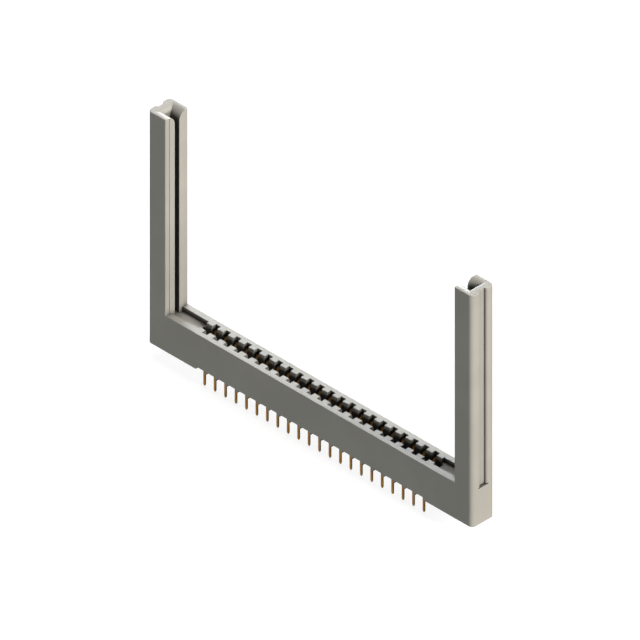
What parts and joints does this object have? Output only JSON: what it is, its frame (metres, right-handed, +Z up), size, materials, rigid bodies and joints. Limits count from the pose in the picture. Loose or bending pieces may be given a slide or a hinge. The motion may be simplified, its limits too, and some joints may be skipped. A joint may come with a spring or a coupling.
{
  "type": "card edge connector",
  "caption": "Long card edge connector: moulded body with rows of gold plated spring contacts, solder tails below, and a tall slotted card guide post at each end.",
  "frame": {"origin": "middle of the seating plane, the underside of the body's stand-off ribs, midway between the rows of solder tails", "axes": "+X along the rows of contacts, -Y the front face, +Z up towards the tops of the guide posts"},
  "size_m": [0.1232, 0.0086, 0.0812],
  "materials": {
    "insulator": "satin",
    "contact_gold": "gold plated"
  },
  "bodies": {
    "root": {"housing": "insulator", "contact_front_01": "contact_gold", "contact_front_02": "contact_gold", "contact_front_03": "contact_gold", "contact_front_04": "contact_gold", "contact_front_05": "contact_gold", "contact_front_06": "contact_gold", "contact_front_07": "contact_gold", "contact_front_08": "contact_gold", "contact_front_09": "contact_gold", "contact_front_10": "contact_gold", "contact_front_11": "contact_gold", "contact_front_12": "contact_gold", "contact_front_13": "contact_gold", "contact_front_14": "contact_gold", "contact_front_15": "contact_gold", "contact_front_16": "contact_gold", "contact_front_17": "contact_gold", "contact_front_18": "contact_gold", "contact_front_19": "contact_gold", "contact_front_20": "contact_gold", "contact_front_21": "contact_gold", "contact_front_22": "contact_gold", "contact_rear_01": "contact_gold", "contact_rear_02": "contact_gold", "contact_rear_03": "contact_gold", "contact_rear_04": "contact_gold", "contact_rear_05": "contact_gold", "contact_rear_06": "contact_gold", "contact_rear_07": "contact_gold", "contact_rear_08": "contact_gold", "contact_rear_09": "contact_gold", "contact_rear_10": "contact_gold", "contact_rear_11": "contact_gold", "contact_rear_12": "contact_gold", "contact_rear_13": "contact_gold", "contact_rear_14": "contact_gold", "contact_rear_15": "contact_gold", "contact_rear_16": "contact_gold", "contact_rear_17": "contact_gold", "contact_rear_18": "contact_gold", "contact_rear_19": "contact_gold", "contact_rear_20": "contact_gold", "contact_rear_21": "contact_gold", "contact_rear_22": "contact_gold"}
  },
  "joints": []
}
